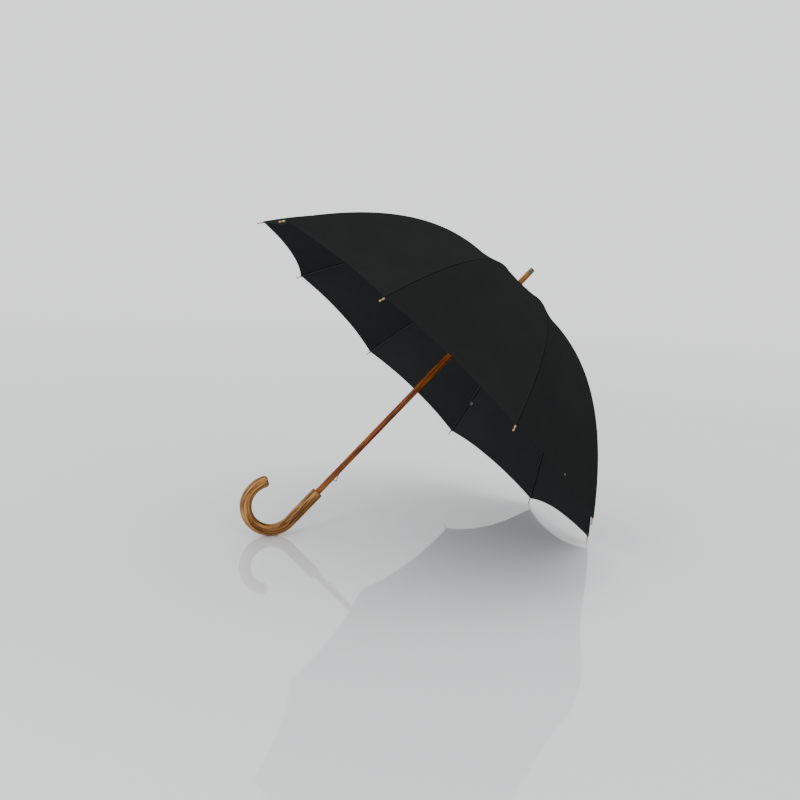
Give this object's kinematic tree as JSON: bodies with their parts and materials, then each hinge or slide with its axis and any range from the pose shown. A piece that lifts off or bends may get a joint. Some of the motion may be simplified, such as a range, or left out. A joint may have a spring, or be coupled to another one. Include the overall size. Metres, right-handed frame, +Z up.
{
  "type": "stick umbrella",
  "caption": "Open stick umbrella with a wooden crook handle, scalloped cloth canopy on sprung ribs, brass tips and a runner that folds it along the shaft.",
  "frame": {"origin": "on the floor, under the middle of the open umbrella's bounding box, as it lies on its crook and two rib tips", "axes": "+Z up; +X level, the way the shaft climbs from handle to ferrule; +Y across the umbrella's mirror plane"},
  "size_m": [0.7918, 1.0522, 0.718],
  "materials": {
    "black_cloth": "tightly woven water-repellent cloth, soft sheen",
    "rib_steel": "black painted spring steel",
    "spring_steel": "plain bright spring steel",
    "brass": "polished",
    "dark_brass": "darkened, polished",
    "black_plastic": "moulded, satin",
    "shaft_wood": "gloss varnish, reddish brown",
    "handle_wood": "gloss varnish, golden chestnut"
  },
  "bodies": {
    "shaft": {"shaft": "shaft_wood", "crook_handle": "handle_wood", "crown": "black_plastic", "rosette": "black_cloth", "stop_pin": "spring_steel", "ferrule_cap": "dark_brass"},
    "runner": {"runner": "black_plastic"},
    "top_catch": {"top_catch": "spring_steel"},
    "bottom_catch": {"bottom_catch": "spring_steel"},
    "closing_strap": {"closing_strap": "black_cloth"},
    "rib_inner_0": {"rib_inner_0": "rib_steel", "gore_0": "black_cloth"},
    "rib_outer_0": {"rib_outer_0": "rib_steel", "rib_tip_0": "brass"},
    "stretcher_0": {"stretcher_0": "rib_steel"},
    "rib_inner_1": {"rib_inner_1": "rib_steel", "gore_1": "black_cloth"},
    "rib_outer_1": {"rib_outer_1": "rib_steel", "rib_tip_1": "brass"},
    "stretcher_1": {"stretcher_1": "rib_steel"},
    "rib_inner_2": {"rib_inner_2": "rib_steel", "gore_2": "black_cloth"},
    "rib_outer_2": {"rib_outer_2": "rib_steel", "rib_tip_2": "brass"},
    "stretcher_2": {"stretcher_2": "rib_steel"},
    "rib_inner_3": {"rib_inner_3": "rib_steel", "gore_3": "black_cloth"},
    "rib_outer_3": {"rib_outer_3": "rib_steel", "rib_tip_3": "brass"},
    "stretcher_3": {"stretcher_3": "rib_steel"},
    "rib_inner_4": {"rib_inner_4": "rib_steel", "gore_4": "black_cloth"},
    "rib_outer_4": {"rib_outer_4": "rib_steel", "rib_tip_4": "brass"},
    "stretcher_4": {"stretcher_4": "rib_steel"},
    "rib_inner_5": {"rib_inner_5": "rib_steel", "gore_5": "black_cloth"},
    "rib_outer_5": {"rib_outer_5": "rib_steel", "rib_tip_5": "brass"},
    "stretcher_5": {"stretcher_5": "rib_steel"},
    "rib_inner_6": {"rib_inner_6": "rib_steel", "gore_6": "black_cloth"},
    "rib_outer_6": {"rib_outer_6": "rib_steel", "rib_tip_6": "brass"},
    "stretcher_6": {"stretcher_6": "rib_steel"},
    "rib_inner_7": {"rib_inner_7": "rib_steel", "gore_7": "black_cloth"},
    "rib_outer_7": {"rib_outer_7": "rib_steel", "rib_tip_7": "brass"},
    "stretcher_7": {"stretcher_7": "rib_steel"},
    "rib_inner_8": {"rib_inner_8": "rib_steel", "gore_8": "black_cloth"},
    "rib_outer_8": {"rib_outer_8": "rib_steel", "rib_tip_8": "brass"},
    "stretcher_8": {"stretcher_8": "rib_steel"},
    "rib_inner_9": {"rib_inner_9": "rib_steel", "gore_9": "black_cloth"},
    "rib_outer_9": {"rib_outer_9": "rib_steel", "rib_tip_9": "brass"},
    "stretcher_9": {"stretcher_9": "rib_steel"}
  },
  "joints": [
    {"name": "canopy_fold", "type": "hinge", "parent": "shaft", "child": "rib_inner_0", "pos_m": [0.2163, 0.0034, 0.57179], "axis": [-0.2238, -0.9511, 0.2131], "range_deg": [0, 67.88], "deforming": ["gore_0", "gore_1", "gore_2", "gore_3", "gore_4", "gore_5", "gore_6", "gore_7", "gore_8", "gore_9", "top_catch", "bottom_catch"]},
    {"name": "rib_fold_1", "type": "hinge", "parent": "shaft", "child": "rib_inner_1", "pos_m": [0.21919, 0.0089, 0.56903], "axis": [-0.5858, -0.5878, 0.5579], "range_deg": [0, 67.88]},
    {"name": "rib_fold_2", "type": "hinge", "parent": "shaft", "child": "rib_inner_2", "pos_m": [0.22387, 0.011, 0.56457], "axis": [-0.7241, 0, 0.6897], "range_deg": [0, 67.88]},
    {"name": "rib_fold_3", "type": "hinge", "parent": "shaft", "child": "rib_inner_3", "pos_m": [0.22856, 0.0089, 0.56011], "axis": [-0.5858, 0.5878, 0.5579], "range_deg": [0, 67.88]},
    {"name": "rib_fold_4", "type": "hinge", "parent": "shaft", "child": "rib_inner_4", "pos_m": [0.23145, 0.0034, 0.55736], "axis": [-0.2238, 0.9511, 0.2131], "range_deg": [0, 67.88]},
    {"name": "rib_fold_5", "type": "hinge", "parent": "shaft", "child": "rib_inner_5", "pos_m": [0.23145, -0.0034, 0.55736], "axis": [0.2238, 0.9511, -0.2131], "range_deg": [0, 67.88]},
    {"name": "rib_fold_6", "type": "hinge", "parent": "shaft", "child": "rib_inner_6", "pos_m": [0.22856, -0.0089, 0.56011], "axis": [0.5858, 0.5878, -0.5579], "range_deg": [0, 67.88]},
    {"name": "rib_fold_7", "type": "hinge", "parent": "shaft", "child": "rib_inner_7", "pos_m": [0.22387, -0.011, 0.56457], "axis": [0.7241, 0, -0.6897], "range_deg": [0, 67.88]},
    {"name": "rib_fold_8", "type": "hinge", "parent": "shaft", "child": "rib_inner_8", "pos_m": [0.21919, -0.0089, 0.56903], "axis": [0.5858, -0.5878, -0.5579], "range_deg": [0, 67.88]},
    {"name": "rib_fold_9", "type": "hinge", "parent": "shaft", "child": "rib_inner_9", "pos_m": [0.2163, -0.0034, 0.57179], "axis": [0.2238, -0.9511, -0.2131], "range_deg": [0, 67.88]},
    {"name": "rib_flex_0", "type": "hinge", "parent": "rib_inner_0", "child": "rib_outer_0", "pos_m": [-0.02488, 0.09049, 0.70719], "axis": [-0.2238, -0.9511, 0.2131], "range_deg": [-20, 0]},
    {"name": "rib_flex_1", "type": "hinge", "parent": "rib_inner_1", "child": "rib_outer_1", "pos_m": [0.05215, 0.2369, 0.63383], "axis": [-0.5858, -0.5878, 0.5579], "range_deg": [-20, 0]},
    {"name": "rib_flex_2", "type": "hinge", "parent": "rib_inner_2", "child": "rib_outer_2", "pos_m": [0.17678, 0.29282, 0.51513], "axis": [-0.7241, 0, 0.6897], "range_deg": [-20, 0]},
    {"name": "rib_flex_3", "type": "hinge", "parent": "rib_inner_3", "child": "rib_outer_3", "pos_m": [0.30142, 0.2369, 0.39643], "axis": [-0.5858, 0.5878, 0.5579], "range_deg": [-20, 0]},
    {"name": "rib_flex_4", "type": "hinge", "parent": "rib_inner_4", "child": "rib_outer_4", "pos_m": [0.37845, 0.09049, 0.32306], "axis": [-0.2238, 0.9511, 0.2131], "range_deg": [-20, 0]},
    {"name": "rib_flex_5", "type": "hinge", "parent": "rib_inner_5", "child": "rib_outer_5", "pos_m": [0.37845, -0.09049, 0.32306], "axis": [0.2238, 0.9511, -0.2131], "range_deg": [-20, 0]},
    {"name": "rib_flex_6", "type": "hinge", "parent": "rib_inner_6", "child": "rib_outer_6", "pos_m": [0.30142, -0.2369, 0.39643], "axis": [0.5858, 0.5878, -0.5579], "range_deg": [-20, 0]},
    {"name": "rib_flex_7", "type": "hinge", "parent": "rib_inner_7", "child": "rib_outer_7", "pos_m": [0.17678, -0.29282, 0.51513], "axis": [0.7241, 0, -0.6897], "range_deg": [-20, 0]},
    {"name": "rib_flex_8", "type": "hinge", "parent": "rib_inner_8", "child": "rib_outer_8", "pos_m": [0.05215, -0.2369, 0.63383], "axis": [0.5858, -0.5878, -0.5579], "range_deg": [-20, 0]},
    {"name": "rib_flex_9", "type": "hinge", "parent": "rib_inner_9", "child": "rib_outer_9", "pos_m": [-0.02488, -0.09049, 0.70719], "axis": [0.2238, -0.9511, -0.2131], "range_deg": [-20, 0]},
    {"name": "stretcher_turn_0", "type": "hinge", "parent": "rib_inner_0", "child": "stretcher_0", "pos_m": [-0.01351, 0.08577, 0.69807], "axis": [-0.2238, -0.9511, 0.2131], "range_deg": [-135.76, 0]},
    {"name": "stretcher_turn_1", "type": "hinge", "parent": "rib_inner_1", "child": "stretcher_1", "pos_m": [0.0595, 0.22454, 0.62854], "axis": [-0.5858, -0.5878, 0.5579], "range_deg": [-135.76, 0]},
    {"name": "stretcher_turn_2", "type": "hinge", "parent": "rib_inner_2", "child": "stretcher_2", "pos_m": [0.17764, 0.27755, 0.51603], "axis": [-0.7241, 0, 0.6897], "range_deg": [-135.76, 0]},
    {"name": "stretcher_turn_3", "type": "hinge", "parent": "rib_inner_3", "child": "stretcher_3", "pos_m": [0.29577, 0.22454, 0.40351], "axis": [-0.5858, 0.5878, 0.5579], "range_deg": [-135.76, 0]},
    {"name": "stretcher_turn_4", "type": "hinge", "parent": "rib_inner_4", "child": "stretcher_4", "pos_m": [0.36878, 0.08577, 0.33398], "axis": [-0.2238, 0.9511, 0.2131], "range_deg": [-135.76, 0]},
    {"name": "stretcher_turn_5", "type": "hinge", "parent": "rib_inner_5", "child": "stretcher_5", "pos_m": [0.36878, -0.08577, 0.33398], "axis": [0.2238, 0.9511, -0.2131], "range_deg": [-135.76, 0]},
    {"name": "stretcher_turn_6", "type": "hinge", "parent": "rib_inner_6", "child": "stretcher_6", "pos_m": [0.29577, -0.22454, 0.40351], "axis": [0.5858, 0.5878, -0.5579], "range_deg": [-135.76, 0]},
    {"name": "stretcher_turn_7", "type": "hinge", "parent": "rib_inner_7", "child": "stretcher_7", "pos_m": [0.17764, -0.27755, 0.51603], "axis": [0.7241, 0, -0.6897], "range_deg": [-135.76, 0]},
    {"name": "stretcher_turn_8", "type": "hinge", "parent": "rib_inner_8", "child": "stretcher_8", "pos_m": [0.0595, -0.22454, 0.62854], "axis": [0.5858, -0.5878, -0.5579], "range_deg": [-135.76, 0]},
    {"name": "stretcher_turn_9", "type": "hinge", "parent": "rib_inner_9", "child": "stretcher_9", "pos_m": [-0.01351, -0.08577, 0.69807], "axis": [0.2238, -0.9511, -0.2131], "range_deg": [-135.76, 0]},
    {"name": "runner_travel", "type": "hinge", "parent": "stretcher_0", "child": "runner", "pos_m": [0.12382, 0.0034, 0.47469], "axis": [-0.2238, -0.9511, 0.2131], "range_deg": [0, 67.88]},
    {"name": "top_catch_press", "type": "hinge", "parent": "shaft", "child": "top_catch", "pos_m": [0.06152, 0, 0.38903], "axis": [0, 1, 0], "range_deg": [-8, 0], "stiffness_Nm_per_rad": 0.4, "springref_deg": 1.15},
    {"name": "bottom_catch_press", "type": "hinge", "parent": "shaft", "child": "bottom_catch", "pos_m": [-0.16108, 0, 0.1553], "axis": [0, 1, 0], "range_deg": [0, 8], "stiffness_Nm_per_rad": 0.4, "springref_deg": -1.15},
    {"name": "strap_swing", "type": "hinge", "parent": "rib_outer_5", "child": "closing_strap", "pos_m": [0.38372, -0.14568, 0.0342], "axis": [0.2238, 0.9511, -0.2131], "range_deg": [0, 120]}
  ],
  "couplings": [
    {"joint": "rib_fold_1", "follows": "canopy_fold", "ratio": 1},
    {"joint": "rib_fold_2", "follows": "canopy_fold", "ratio": 1},
    {"joint": "rib_fold_3", "follows": "canopy_fold", "ratio": 1},
    {"joint": "rib_fold_4", "follows": "canopy_fold", "ratio": 1},
    {"joint": "rib_fold_5", "follows": "canopy_fold", "ratio": 1},
    {"joint": "rib_fold_6", "follows": "canopy_fold", "ratio": 1},
    {"joint": "rib_fold_7", "follows": "canopy_fold", "ratio": 1},
    {"joint": "rib_fold_8", "follows": "canopy_fold", "ratio": 1},
    {"joint": "rib_fold_9", "follows": "canopy_fold", "ratio": 1},
    {"joint": "rib_flex_0", "follows": "canopy_fold", "ratio": -0.29463},
    {"joint": "rib_flex_1", "follows": "canopy_fold", "ratio": -0.29463},
    {"joint": "rib_flex_2", "follows": "canopy_fold", "ratio": -0.29463},
    {"joint": "rib_flex_3", "follows": "canopy_fold", "ratio": -0.29463},
    {"joint": "rib_flex_4", "follows": "canopy_fold", "ratio": -0.29463},
    {"joint": "rib_flex_5", "follows": "canopy_fold", "ratio": -0.29463},
    {"joint": "rib_flex_6", "follows": "canopy_fold", "ratio": -0.29463},
    {"joint": "rib_flex_7", "follows": "canopy_fold", "ratio": -0.29463},
    {"joint": "rib_flex_8", "follows": "canopy_fold", "ratio": -0.29463},
    {"joint": "rib_flex_9", "follows": "canopy_fold", "ratio": -0.29463},
    {"joint": "stretcher_turn_0", "follows": "canopy_fold", "ratio": -2},
    {"joint": "stretcher_turn_1", "follows": "canopy_fold", "ratio": -2},
    {"joint": "stretcher_turn_2", "follows": "canopy_fold", "ratio": -2},
    {"joint": "stretcher_turn_3", "follows": "canopy_fold", "ratio": -2},
    {"joint": "stretcher_turn_4", "follows": "canopy_fold", "ratio": -2},
    {"joint": "stretcher_turn_5", "follows": "canopy_fold", "ratio": -2},
    {"joint": "stretcher_turn_6", "follows": "canopy_fold", "ratio": -2},
    {"joint": "stretcher_turn_7", "follows": "canopy_fold", "ratio": -2},
    {"joint": "stretcher_turn_8", "follows": "canopy_fold", "ratio": -2},
    {"joint": "stretcher_turn_9", "follows": "canopy_fold", "ratio": -2},
    {"joint": "runner_travel", "follows": "canopy_fold", "ratio": 1}
  ]
}
